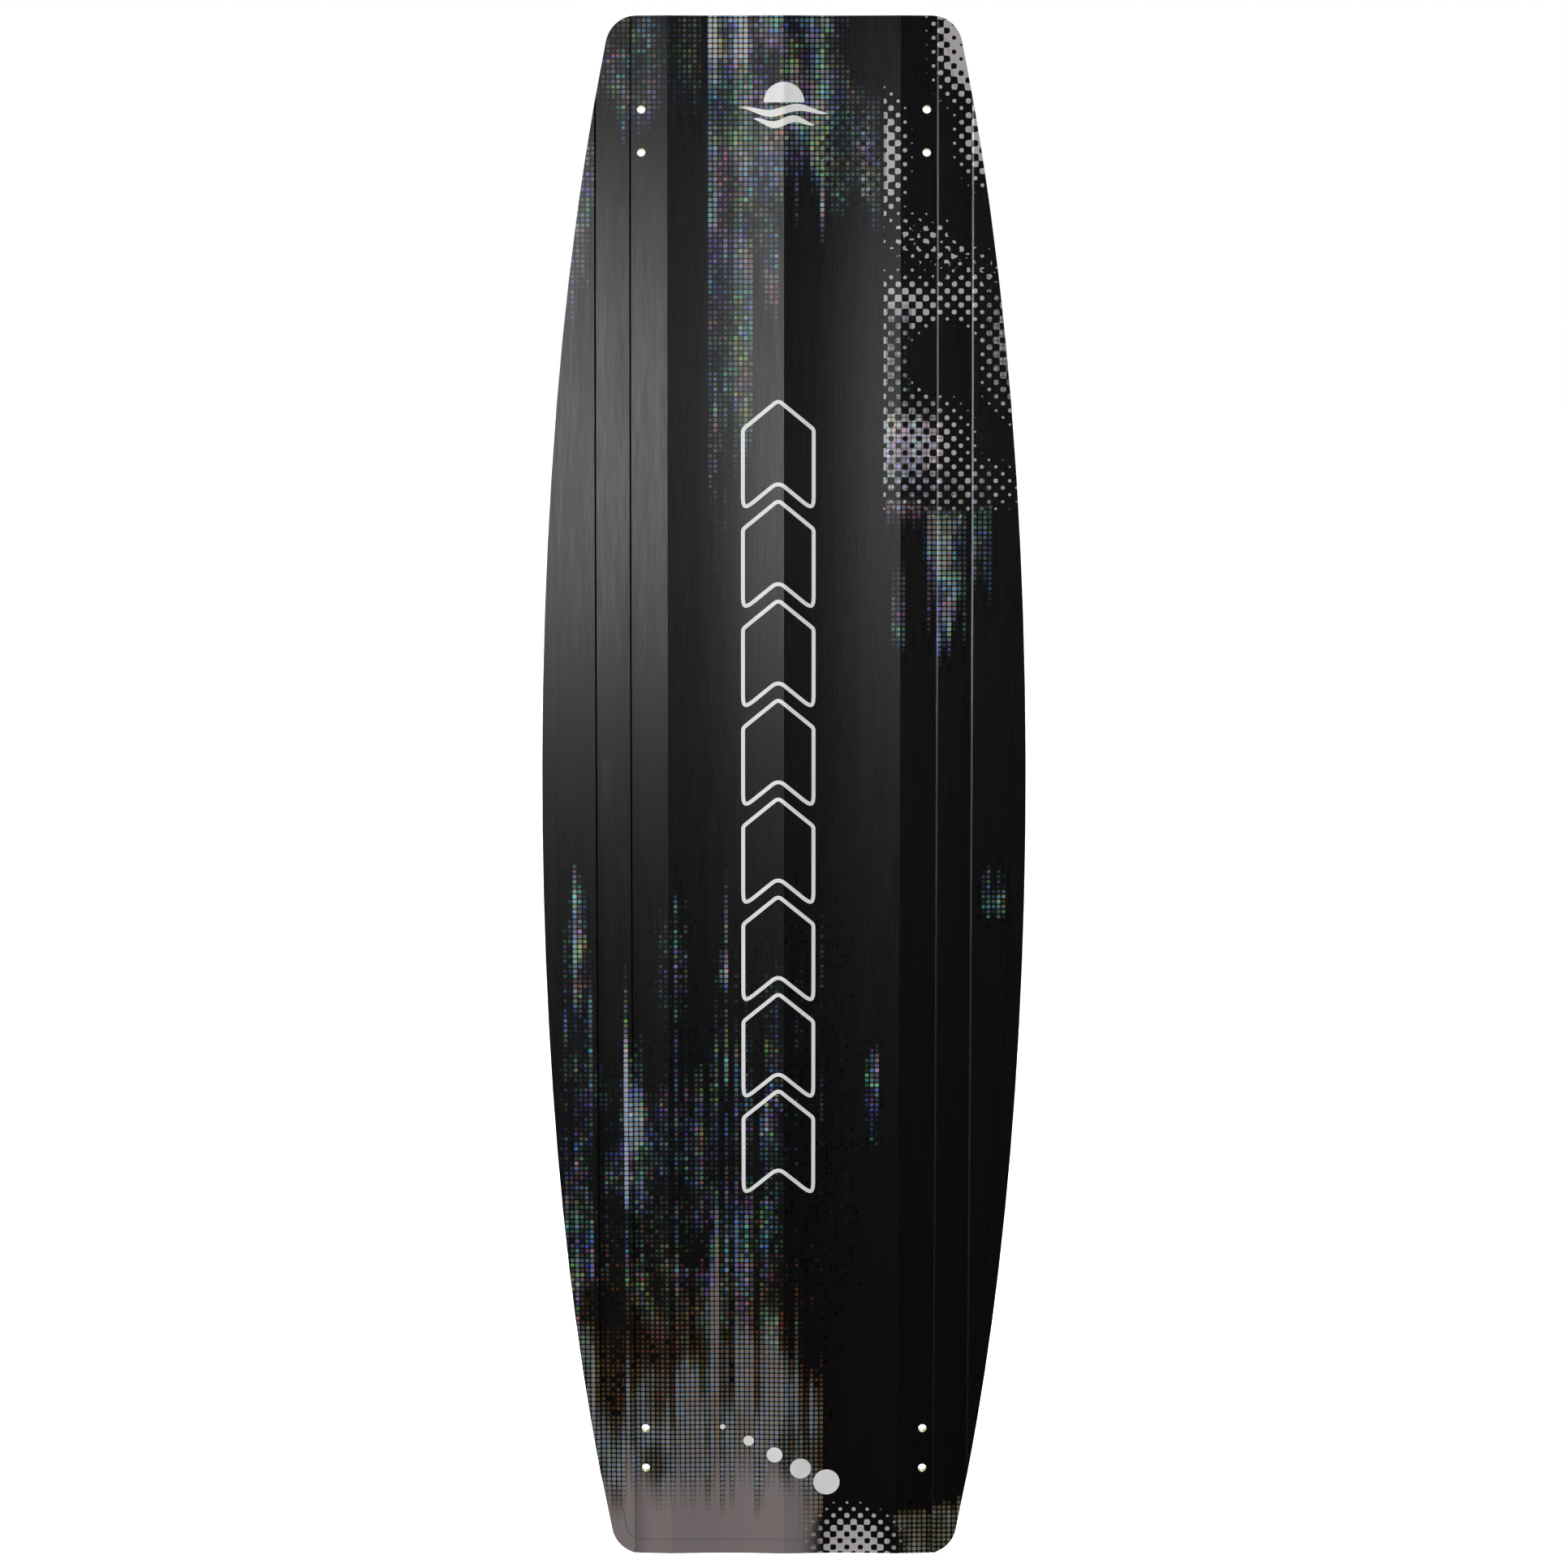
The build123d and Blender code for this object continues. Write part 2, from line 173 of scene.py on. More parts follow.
class Shader:
    """A material and short calls that add a node to it and link or set its inputs."""

    def __init__(self, name):
        self.material = bpy.data.materials.new(name)
        self.material.use_nodes = True
        self.tree = self.material.node_tree
        self.surface = self.tree.nodes["Principled BSDF"]
        self.place = self.add("ShaderNodeTexCoord").outputs["Object"]

    def put(self, socket, value):
        if isinstance(value, bpy.types.NodeSocket):
            self.tree.links.new(value, socket)
        elif isinstance(value, tuple) and len(value) == 3 and socket.type == "RGBA":
            socket.default_value = (*value, 1.0)
        else:
            socket.default_value = value

    def add(self, kind, inputs=None, **settings):
        node = self.tree.nodes.new(kind)
        for name, value in settings.items():
            setattr(node, name, value)
        for name, value in (inputs or {}).items():
            self.put(node.inputs[name], value)
        return node

    def math(self, operation, *values):
        inputs = dict(enumerate(values))
        return self.add("ShaderNodeMath", inputs, operation=operation).outputs[0]

    def ease(self, value, low, high, start=0.0, end=1.0):
        inputs = {"Value": value, "From Min": low, "From Max": high, "To Min": start, "To Max": end}
        node = self.add("ShaderNodeMapRange", inputs, interpolation_type="SMOOTHSTEP")
        return node.outputs[0]

    def mix(self, factor, first, second, blend="MIX"):
        node = self.add("ShaderNodeMix", data_type="RGBA", blend_type=blend)
        for index, value in ((0, factor), (6, first), (7, second)):
            self.put(node.inputs[index], value)
        return node.outputs[2]

    def vector(self, x, y, z):
        return self.add("ShaderNodeCombineXYZ", {0: x, 1: y, 2: z}).outputs[0]

    def millimetres(self):
        parts = self.add("ShaderNodeSeparateXYZ", {0: self.place})
        return [self.math("MULTIPLY", parts.outputs[axis], 1000.0) for axis in (0, 1, 2)]

    def random(self, x, y, seed):
        vector = self.vector(x, y, float(seed))
        return self.add("ShaderNodeTexWhiteNoise", {"Vector": vector}, noise_dimensions="3D")

    def noise(self, vector, scale, detail=2.0, roughness=0.5):
        inputs = {"Vector": vector, "Scale": scale, "Detail": detail, "Roughness": roughness}
        return self.add("ShaderNodeTexNoise", inputs).outputs[0]

    def stretched(self, sx, sy, sz):
        inputs = {"Vector": self.place, "Scale": (sx, sy, sz)}
        return self.add("ShaderNodeMapping", inputs).outputs[0]

    def band(self, value, low, high, soft):
        rise = self.ease(value, self.math("SUBTRACT", low, soft), self.math("ADD", low, soft))
        fall = self.ease(value, self.math("SUBTRACT", high, soft), self.math("ADD", high, soft), 1.0, 0.0)
        return self.math("MULTIPLY", rise, fall)

    def bump(self, height, strength, distance):
        inputs = {"Height": height, "Strength": strength, "Distance": distance}
        self.put(self.surface.inputs["Normal"], self.add("ShaderNodeBump", inputs).outputs[0])

    def finish(self, **values):
        for name, value in values.items():
            self.put(self.surface.inputs[name.replace("_", " ").title().replace("Ior", "IOR")], value)
        return self.material


# ---- the printed pattern ------------------------------------------------------------------

def field(g, x, z, column, regions):
    """Strength of the strongest region here; ends run on in uneven drips, column by column."""
    total = 0.0
    for left, right, bottom, top, drip, rise, side, end, strength in regions:
        low = g.math("MULTIPLY_ADD", column, -drip, bottom)
        high = g.math("MULTIPLY_ADD", column, rise, top)
        level = g.math("MULTIPLY", g.band(x, left, right, side), g.band(z, low, high, end))
        total = g.math("MAXIMUM", total, g.math("MULTIPLY", level, strength))
    return total


def reach(g, x, z, cx, cz, half_width, half_height):
    """Distance from a centre, 1 on the ellipse round it."""
    dx = g.math("DIVIDE", g.math("SUBTRACT", x, cx), half_width)
    dz = g.math("DIVIDE", g.math("SUBTRACT", z, cz), half_height)
    return g.math("SQRT", g.math("MULTIPLY_ADD", dx, dx, g.math("MULTIPLY", dz, dz)))


def discs(g, x, z, places):
    """1 outside the plain discs, 0 inside."""
    clear = 1.0
    for cx, cz, radius, soft in places:
        far = reach(g, x, z, cx, cz, radius, radius)
        clear = g.math("MULTIPLY", clear, g.ease(far, 1 - soft / radius, 1 + soft / radius))
    return clear


def clouds(g, x, z, regions):
    """Strength of the strongest elliptical cloud here."""
    total = 0.0
    for cx, cz, half_width, half_height, strength, clipped in regions:
        far = reach(g, x, z, cx, cz, half_width, half_height)
        level = g.ease(far, 0.1, 1.0, strength, 0.0)
        if clipped:
            level = g.math("MULTIPLY", level, g.math("GREATER_THAN", x, STRIP_LEFT))
        total = g.math("MAXIMUM", total, level)
    return total


def channel_levels(g, strength, z):
    """Red, green and blue levels: red leads where the print flames up, blue leads elsewhere."""
    above = g.ease(z, *CHANNELS_SWAP)
    red_start = g.math("MULTIPLY_ADD", above, 0.09, 0.02)
    blue_start = g.math("MULTIPLY_ADD", above, -0.13, 0.19)
    levels = []
    for start in (red_start, 0.08, blue_start):
        level = g.ease(strength, start, g.math("ADD", start, 0.85))
        levels.append(g.math("POWER", level, 1.25))
    return g.vector(*levels)


class Cells:
    """The mosaic's square grid: place in cells, whole cell numbers, and cell centres in millimetres."""

    def __init__(self, g, x, z):
        self.u, self.v = g.math("DIVIDE", x, CELL), g.math("DIVIDE", z, CELL)
        self.column, self.row = g.math("FLOOR", self.u), g.math("FLOOR", self.v)
        self.x = g.math("MULTIPLY", g.math("ADD", self.column, 0.5), CELL)
        self.z = g.math("MULTIPLY", g.math("ADD", self.row, 0.5), CELL)
        self.chance = g.random(self.column, 0.0, COLUMN_SEED).outputs["Value"]

    def cloudy(self, g, width, height, seed):
        """Vector for noise that varies over that many millimetres across and along."""
        return g.vector(g.math("DIVIDE", self.x, width), g.math("DIVIDE", self.z, height), seed)


def column_runs(g, cells):
    """How far each column runs past the ends of its region."""
    lone = g.math("POWER", cells.chance, 1.8)
    trio = g.math("FLOOR", g.math("DIVIDE", cells.column, 3.0))
    group = g.random(trio, 0.0, GROUP_SEED).outputs["Value"]
    drift = g.noise(g.vector(g.math("DIVIDE", cells.x, 34.0), 0.0, 3.0), 1.0)
    shared = g.math("MULTIPLY_ADD", group, 0.3, g.math("MULTIPLY", drift, 0.5))
    return g.math("SUBTRACT", g.math("MULTIPLY_ADD", lone, 0.45, shared), 0.15)


def mosaic_strength(g, cells, runs, patches, regions, places):
    """Strength of the mosaic in each cell: its region, thinned by patches, banks and uneven columns."""
    clear = discs(g, cells.x, cells.z, places)
    strength = g.math("MULTIPLY", field(g, cells.x, cells.z, runs, regions), clear)
    strength = g.math("MULTIPLY", strength, g.ease(patches, 0.25, 0.65, 0.62, 1.12))
    banks = g.ease(g.noise(cells.cloudy(g, 60.0, 80.0, 8.0), 1.0), 0.36, 0.58, 0.68, 1.12)
    broken = g.mix(g.ease(cells.z, *BANKS_START, 0.35, 1.0), WHITE, banks)
    strength = g.math("MULTIPLY", strength, g.mix(g.ease(cells.z, *BANKS_STOP), broken, WHITE))
    low_tip = g.ease(cells.z, *EVEN_BELOW, 0.4, 1.0)
    contrast = g.math("MULTIPLY", g.ease(cells.z, *EVEN_ABOVE, 0.62, 0.15), low_tip)
    uneven = g.math("MULTIPLY", contrast, g.math("SUBTRACT", cells.chance, 0.6))
    return g.math("MULTIPLY", strength, g.math("ADD", uneven, 1.0))


def mosaic_dots(g, cells, strength):
    """Rounded squares in red, green and blue, slightly out of register."""
    size = g.ease(strength, 0.1, 0.8, 0.28, 0.41)
    # Painted sheen: where the mosaic is strongest, a faint wash of each square's colour is painted over the
    # dark ground between the squares.
    painted_sheen = g.ease(strength, 0.90, 1.15, 0.0, 0.45)
    share = g.math("MULTIPLY", strength, g.ease(cells.z, *HALVES, 2.6, 5.0))
    lit = g.math("LESS_THAN", g.random(cells.column, cells.row, LIT_SEED).outputs["Value"], share)
    dots = []
    for fringe in (FRINGE, 0.0, -FRINGE):
        across = g.math("SUBTRACT", g.math("SUBTRACT", cells.u, cells.column), 0.5 + fringe)
        along = g.math("SUBTRACT", g.math("SUBTRACT", cells.v, cells.row), 0.5 + fringe)
        powers = [g.math("POWER", g.math("ABSOLUTE", value), 4.0) for value in (across, along)]
        span = g.math("POWER", g.math("ADD", *powers), 0.25)
        edges = (g.math("SUBTRACT", size, DOT_EDGE), g.math("ADD", size, DOT_EDGE))
        dot = g.ease(span, *edges, 1.0, 0.0)
        dots.append(g.math("MULTIPLY", g.math("MAXIMUM", dot, painted_sheen), lit))
    cover = g.math("MAXIMUM", g.math("MAXIMUM", dots[0], dots[1]), dots[2])
    return g.vector(*dots), cover


def drifting_tint(g, cells):
    """A tint that drifts slowly over the board, channel by channel."""
    inputs = {"Vector": cells.cloudy(g, 20.0, 34.0, 6.0), "Scale": 1.0, "Detail": 1.0}
    tint = g.add("ShaderNodeTexNoise", inputs).outputs["Color"]
    spread = g.add("ShaderNodeMapRange", data_type="FLOAT_VECTOR", interpolation_type="SMOOTHSTEP")
    ends = (tint, (0.36, 0.36, 0.36), (0.62, 0.62, 0.62), (0.55, 0.60, 0.55), (1.35, 1.40, 1.45))
    for index, value in enumerate(ends, start=VECTOR_SOCKETS):
        g.put(spread.inputs[index], value)
    return spread.outputs[1]


def lively_colour(g, cells, strength, patches):
    """Random colour of each square, calmer where the mosaic is strong and low in the flames."""
    sparkle = g.random(cells.column, cells.row, COLOUR_SEED).outputs["Color"]
    squared = g.mix(1.0, sparkle, sparkle, "MULTIPLY")
    vivid = g.mix(g.ease(cells.z, *VIVID_ENDS, 0.75, 0.0), sparkle, squared)
    patch_tint = g.mix(g.ease(patches, 0.35, 0.6), (0.34, 0.52, 0.86), (0.60, 0.64, 0.48))
    pale = g.mix(g.ease(cells.z, *VIVID_ENDS, 0.34, 0.5), vivid, patch_tint)
    lively = g.mix(1.0, pale, drifting_tint(g, cells), "MULTIPLY")
    below = g.ease(cells.z, *HALVES, 2.3, 1.5)
    brightest = g.math("MULTIPLY", below, g.ease(cells.z, *GLOW_FADES, 0.6, 1.0))
    chance = g.random(cells.column, cells.row, GLOW_SEED).outputs["Value"]
    glow = g.ease(chance, 0.0, 1.0, 0.35, brightest)
    lively = g.mix(1.0, lively, g.vector(glow, glow, glow), "MULTIPLY")
    strong = g.ease(strength, 0.45, 1.0, 0.05, 0.85)
    low = g.math("MULTIPLY", g.ease(cells.z, *CALM_BELOW, 1.0, 0.0), g.ease(strength, 0.0, 0.6, 0.35, 0.85))
    return g.mix(g.math("MAXIMUM", strong, low), lively, WHITE)


def paper_colour(g, cells, strength):
    """Ink under the squares: lilac above, dusk below, warm tips and taupe where it flames up."""
    warm_to_cool = g.mix(g.ease(strength, 0.25, 0.5), FLAME_WARM, FLAME_COOL)
    flamed = g.mix(1.0, INK_DUSK, warm_to_cool, "MULTIPLY")
    solid = g.math("MAXIMUM", g.ease(cells.z, *TAUPE_BELOW, 1.0, 0.0), g.ease(strength, 0.62, 0.9))
    left_part = g.ease(cells.x, *FLAMES_STOP, 1.0, 0.0)
    flames = g.math("MULTIPLY", left_part, g.ease(cells.z, *FLAMES_BELOW, 1.0, 0.0))
    lower = g.mix(flames, INK_DUSK, g.mix(solid, flamed, INK_TAUPE))
    return g.mix(g.ease(cells.z, *LILAC_ABOVE), lower, INK_LILAC)


def mosaic(g, x, z, regions, places):
    """Colour, cover and strength of the mosaic of rounded squares, and how far its columns run."""
    cells = Cells(g, x, z)
    runs = column_runs(g, cells)
    patches = g.noise(cells.cloudy(g, 22.0, 70.0, 1.0), 1.0)
    strength = mosaic_strength(g, cells, runs, patches, regions, places)
    fringed, cover = mosaic_dots(g, cells, strength)
    levels = channel_levels(g, strength, cells.z)
    lit_paper = g.mix(1.0, paper_colour(g, cells, strength), levels, "MULTIPLY")
    colour = g.mix(1.0, lively_colour(g, cells, strength, patches), lit_paper, "MULTIPLY")
    return g.mix(1.0, colour, fringed, "MULTIPLY"), cover, strength, runs


def halftone(g, x, z):
    """Halftone ink, black dots that break up the mosaic, and the share of mosaic left beside the ink."""
    turn = 2 * math.pi / HALFTONE
    origin_x, origin_z = HALFTONE_ORIGIN
    across = g.math("COSINE", g.math("MULTIPLY", g.math("SUBTRACT", x, origin_x), turn))
    along = g.math("COSINE", g.math("MULTIPLY", g.math("SUBTRACT", z, origin_z), turn))
    wave = g.math("MULTIPLY", across, along)
    total = g.math("MULTIPLY", clouds(g, x, z, BASE_HALFTONE), discs(g, x, z, BASE_DISCS))
    chips = g.noise(g.vector(g.math("DIVIDE", x, 5.0), g.math("DIVIDE", z, 5.0), 9.0), 1.0, 1.0)
    bite = g.math("MULTIPLY", g.ease(chips, 0.46, 0.56), clouds(g, x, z, FRAGMENTS))
    wave = g.math("SUBTRACT", wave, g.math("MULTIPLY", bite, 1.2))
    bar = g.math("MULTIPLY_ADD", total, -1.5, 1.08)
    ink = g.ease(wave, g.math("SUBTRACT", bar, 0.1), g.math("ADD", bar, 0.1))
    black = g.ease(clouds(g, x, z, BLACK_DOTS), 0.1, 0.6)
    holes = g.math("MULTIPLY", g.ease(wave, -0.55, -0.35, 1.0, 0.0), black)
    plain = g.ease(total, 0.1, 0.35, 1.0, 0.0)
    return g.math("MULTIPLY", ink, g.ease(total, 0.04, 0.14)), holes, plain


def streaks(g, seed):
    """Fine lengthwise streaks in the gloss of a pressed film."""
    fine = g.noise(g.stretched(1100.0, 1.0, 24.0), 1.0, 3.0, 0.65)
    broad = g.noise(g.stretched(120.0, 1.0 + seed, 9.0), 1.0, 2.0, 0.5)
    return g.math("MULTIPLY_ADD", broad, 0.3, g.math("MULTIPLY", fine, 0.7))


def base_film():
    g = Shader("printed_base_film")
    x, _, z = g.millimetres()
    colour, cover, strength, column = mosaic(g, x, z, BASE_MOSAIC, BASE_DISCS)
    dots, holes, plain = halftone(g, x, z)
    shown = g.math("MULTIPLY", g.math("MULTIPLY", cover, g.math("SUBTRACT", 1.0, holes)), plain)
    picture = g.mix(shown, INK_BLACK, colour)
    inside = g.mix(1.0, g.mix(0.28, colour, INK_GREY), (1.6, 1.5, 1.55), "MULTIPLY")
    woven = g.mix(cover, (0.06, 0.057, 0.065), inside)
    worn = g.mix(g.ease(strength, 0.1, 0.45), INK_GREY, woven)
    picture = g.mix(dots, picture, worn)
    solid = g.ease(field(g, x, z, column, BASE_TAUPE), 0.1, 0.9)
    picture = g.mix(g.math("MULTIPLY", solid, g.ease(x, 0.0, 50.0, 1.0, 0.0)), picture, INK_TAUPE)
    film = streaks(g, 0.0)
    g.bump(film, 0.12, 0.0004)
    rough = g.ease(film, 0.3, 0.7, 0.25, 0.33)
    return g.finish(base_color=picture, roughness=rough, specular_ior_level=0.5)


def deck_film():
    g = Shader("printed_deck_film")
    x, _, z = g.millimetres()
    colour, cover, _, _ = mosaic(g, x, z, DECK_MOSAIC, ())
    quiet = g.mix(0.3, colour, (0.03, 0.03, 0.034))
    picture = g.mix(cover, (0.005, 0.005, 0.0055), quiet)
    film = streaks(g, 4.0)
    g.bump(film, 0.16, 0.0004)
    rough = g.ease(film, 0.3, 0.7, 0.3, 0.4)
    return g.finish(base_color=picture, roughness=rough, specular_ior_level=0.5)


def laminate():
    g = Shader("glass_laminate")
    threads = {"Vector": g.place, "Scale": 160.0, "Distortion": 0.6}
    warp = g.add("ShaderNodeTexWave", threads, bands_direction="X")
    weft = g.add("ShaderNodeTexWave", threads, bands_direction="Z")
    weave = g.math("MULTIPLY", warp.outputs[1], weft.outputs[1])
    g.bump(weave, 0.25, 0.0002)
    return g.finish(base_color=g.mix(weave, (0.20, 0.23, 0.15), (0.36, 0.39, 0.28)), roughness=0.32)


def rail_plastic():
    g = Shader("rail_abs")
    grain = g.noise(g.place, 900.0, 4.0, 0.6)
    passes = g.noise(g.stretched(40.0, 1500.0, 40.0), 1.0, 2.0)
    g.bump(g.math("MULTIPLY_ADD", passes, 0.6, grain), 0.25, 0.0003)
    shade = g.mix(g.noise(g.place, 30.0), (0.012, 0.012, 0.013), (0.028, 0.028, 0.03))
    return g.finish(base_color=shade, roughness=g.ease(grain, 0.3, 0.7, 0.42, 0.6))


def plug_resin():
    g = Shader("plug_resin")
    cloud = g.noise(g.place, 220.0, 3.0)
    shade = g.mix(cloud, (0.55, 0.60, 0.26), (0.72, 0.76, 0.42))
    g.bump(g.noise(g.place, 2600.0, 2.0), 0.15, 0.0001)
    return g.finish(base_color=shade, roughness=g.ease(cloud, 0.3, 0.7, 0.24, 0.4),
                    subsurface_weight=0.35, subsurface_scale=0.004)


def insert_steel():
    g = Shader("insert_steel")
    rings = g.noise(g.stretched(2600.0, 400.0, 2600.0), 1.0, 3.0)
    shade = g.mix(rings, (0.48, 0.48, 0.47), (0.68, 0.68, 0.66))
    g.bump(rings, 0.2, 0.0001)
    return g.finish(base_color=shade, metallic=1.0, roughness=g.ease(rings, 0.3, 0.7, 0.22, 0.38))


def wood(name, dark, light, scale):
    g = Shader(name)
    bend = g.noise(g.stretched(6.0, 6.0, 0.8), 1.0, 3.0)
    grain = g.noise(g.stretched(scale, scale, 6.0), 1.0, 5.0, 0.62)
    figure = g.math("FRACT", g.math("MULTIPLY_ADD", bend, 9.0, g.math("MULTIPLY", grain, 0.6)))
    shade = g.mix(g.math("MULTIPLY_ADD", figure, 0.5, g.math("MULTIPLY", grain, 0.5)), dark, light)
    g.bump(grain, 0.3, 0.0004)
    return g.finish(base_color=shade, roughness=g.ease(grain, 0.3, 0.7, 0.5, 0.68))


def print_ink():
    g = Shader("white_print")
    grain = g.noise(g.place, 700.0, 3.0)
    wear = g.noise(g.stretched(60.0, 1.0, 16.0), 1.0, 4.0)
    shade = g.mix(g.ease(wear, 0.3, 0.75), (0.47, 0.47, 0.465), (0.43, 0.43, 0.425))
    g.bump(grain, 0.08, 0.0001)
    return g.finish(base_color=shade, roughness=g.ease(grain, 0.3, 0.7, 0.38, 0.5))


def dress_nodes():
    """Give each CAD node its material."""
    finishes = {
        "base_film": base_film(), "deck_film": deck_film(), "glass_laminate": laminate(),
        "glass_patch": laminate(), "rail_plastic": rail_plastic(), "plug_resin": plug_resin(),
        "insert_steel": insert_steel(),
        "core_wood": wood("core_paulownia", (0.50, 0.37, 0.22), (0.74, 0.60, 0.42), 130.0),
        "stringer_wood": wood("stringer_ash", (0.36, 0.24, 0.13), (0.58, 0.43, 0.26), 190.0),
    }
    for entry in frame["record"]["subparts"]:
        node = frame["nodes"][entry["node"]]
        node.data.materials.clear()
        node.data.materials.append(finishes[entry["material_slot"]])


# ---- generic white print marks on the base ------------------------------------------------

PRINT_LIFT = 0.12 * MM      # outer face of the print above the base sheet
PRINT_THICKNESS = 0.06 * MM
STROKE = 3.4                # width of an outline, in millimetres
SAMPLE = 3.0                # longest step along an outline
SHARP_ANGLE = math.radians(40)


def on_base(x, z, lift):
    """Point on the base sheet at (x, z) in millimetres, raised towards the water side."""
    sheet = frame["nodes"]["base_sheet"]
    found, place, _, _ = sheet.ray_cast(Vector((x * MM, -1.0, z * MM)), Vector((0, 1, 0)))
    if not found:
        raise RuntimeError(f"no base sheet at {x}, {z}")
    return Vector((place.x, place.y - lift, place.z))


def rounded(points, radius, steps=6):
    """Closed outline with each corner replaced by an arc."""
    outline = []
    count = len(points)
    for i, corner in enumerate(points):
        before = Vector(points[i - 1]) - Vector(corner)
        after = Vector(points[(i + 1) % count]) - Vector(corner)
        half = before.angle(after) / 2
        run = min(radius / math.tan(half), 0.48 * before.length, 0.48 * after.length)
        start = Vector(corner) + before.normalized() * run
        end = Vector(corner) + after.normalized() * run
        for step in range(steps + 1):
            t = step / steps
            outline.append(start * (1 - t) ** 2 + 2 * Vector(corner) * t * (1 - t) + end * t**2)
    return outline


def resampled(outline, spacing):
    """The closed outline with points added, so that none are further apart than spacing."""
    dense = []
    for i, point in enumerate(outline):
        following = outline[(i + 1) % len(outline)]
        pieces = max(1, math.ceil((following - point).length / spacing))
        dense += [point.lerp(following, k / pieces) for k in range(pieces)]
    return dense


def ribbon(mesh, outline, width):
    """A closed band of that width inside an outline, as a thin solid on the base."""
    count = len(outline)
    area = sum(a.cross(b) for a, b in zip(outline, outline[1:] + outline[:1]))
    side = 1 if area > 0 else -1
    rings = []
    for depth in (0.0, width / 2, width):
        ring = []
        for i, point in enumerate(outline):
            along = (outline[(i + 1) % count] - outline[i - 1]).normalized()
            inward = Vector((-along.y, along.x)) * side
            ring.append(point + inward * depth)
        rings.append(ring)
    layers = []
    for lift in (PRINT_LIFT, PRINT_LIFT - PRINT_THICKNESS):
        layers.append([[mesh.verts.new(on_base(p.x, p.y, lift)) for p in ring] for ring in rings])
    front, back = layers
    for i in range(count):
        j = (i + 1) % count
        for k in (0, 1):
            mesh.faces.new((front[k][i], front[k][j], front[k + 1][j], front[k + 1][i]))
            mesh.faces.new((back[k][i], back[k + 1][i], back[k + 1][j], back[k][j]))
        mesh.faces.new((front[0][i], back[0][i], back[0][j], front[0][j]))
        mesh.faces.new((front[2][i], front[2][j], back[2][j], back[2][i]))


def patch(mesh, outline, centre, rings=6):
    """A filled outline, star shaped about its centre, as a thin solid on the base."""
    layers = []
    for lift in (PRINT_LIFT, PRINT_LIFT - PRINT_THICKNESS):
        middle = mesh.verts.new(on_base(centre.x, centre.y, lift))
        loops = []
        for ring in range(1, rings + 1):
            points = [centre.lerp(p, ring / rings) for p in outline]
            loops.append([mesh.verts.new(on_base(p.x, p.y, lift)) for p in points])
        layers.append((middle, loops))
    count = len(outline)
    for middle, loops in layers:
        for i in range(count):
            j = (i + 1) % count
            mesh.faces.new((middle, loops[0][i], loops[0][j]))
            for inner, outer in zip(loops, loops[1:]):
                mesh.faces.new((inner[i], outer[i], outer[j], inner[j]))
    front, back = layers[0][1][-1], layers[1][1][-1]
    for i in range(count):
        j = (i + 1) % count
        mesh.faces.new((front[i], back[i], back[j], front[j]))


def strip(mesh, upper, lower):
    """A filled strip between two lines of the same number of points."""
    layers = []
    for lift in (PRINT_LIFT, PRINT_LIFT - PRINT_THICKNESS):
        lines = [[mesh.verts.new(on_base(p.x, p.y, lift)) for p in line] for line in (upper, lower)]
        layers.append(lines)
    (fu, fl), (bu, bl) = layers
    last = len(upper) - 1
    for i in range(last):
        mesh.faces.new((fu[i], fu[i + 1], fl[i + 1], fl[i]))
        mesh.faces.new((bu[i], bl[i], bl[i + 1], bu[i + 1]))
        mesh.faces.new((fu[i], bu[i], bu[i + 1], fu[i + 1]))
        mesh.faces.new((fl[i], fl[i + 1], bl[i + 1], bl[i]))
    mesh.faces.new((fu[0], fl[0], bl[0], bu[0]))
    mesh.faces.new((fu[last], bu[last], bl[last], fl[last]))


def print_piece(name, build):
    """Make one print mark from a function that fills a bmesh."""
    mesh = bmesh.new()
    build(mesh)
    bmesh.ops.recalc_face_normals(mesh, faces=mesh.faces)
    data = bpy.data.meshes.new(name)
    mesh.to_mesh(data)
    mesh.free()
    data.materials.append(INK)
    for face in data.polygons:
        face.use_smooth = True
    data.set_sharp_from_angle(angle=SHARP_ANGLE)
    piece = bpy.data.objects.new(name, data)
    bpy.context.scene.collection.objects.link(piece)
    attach(piece, "root")
    return piece


BAND_LEFT, BAND_RIGHT = -0.177 * HALF_WIDTH, 0.130 * HALF_WIDTH
BAND_END = 0.517 * HALF_LENGTH
CHEVRONS = 8
CHEVRON_RISE = 27.0         # from the wings to the point
CHEVRON_GAP = 12.0
CHEVRON_CORNER = 7.0


def band(mesh):
    """A row of outlined chevrons along the middle of the board."""
    middle = (BAND_LEFT + BAND_RIGHT) / 2
    body = (2 * BAND_END - CHEVRON_RISE - (CHEVRONS - 1) * CHEVRON_GAP) / CHEVRONS
    pitch = body + CHEVRON_GAP
    for place in range(CHEVRONS):
        low = -BAND_END + place * pitch
        high = low + body
        points = ((BAND_LEFT, low), (middle, low + CHEVRON_RISE), (BAND_RIGHT, low),
                  (BAND_RIGHT, high), (middle, high + CHEVRON_RISE), (BAND_LEFT, high))
        ribbon(mesh, resampled(rounded(points, CHEVRON_CORNER), SAMPLE), STROKE)


EMBLEM_LEVEL = 0.89 * HALF_LENGTH
SUN_RADIUS, SUN_STEPS = 18.0, 24
SUN_MIDDLE = 7.0            # a point inside the half disc, above its flat side
WAVES = ((7.0, 38.0), (17.0, 27.0))     # drop below the sun, half length
WAVE_STEPS = 32
WAVE_HEIGHT, WAVE_THICKNESS, WAVE_TIP = 2.6, 6.6, 0.2


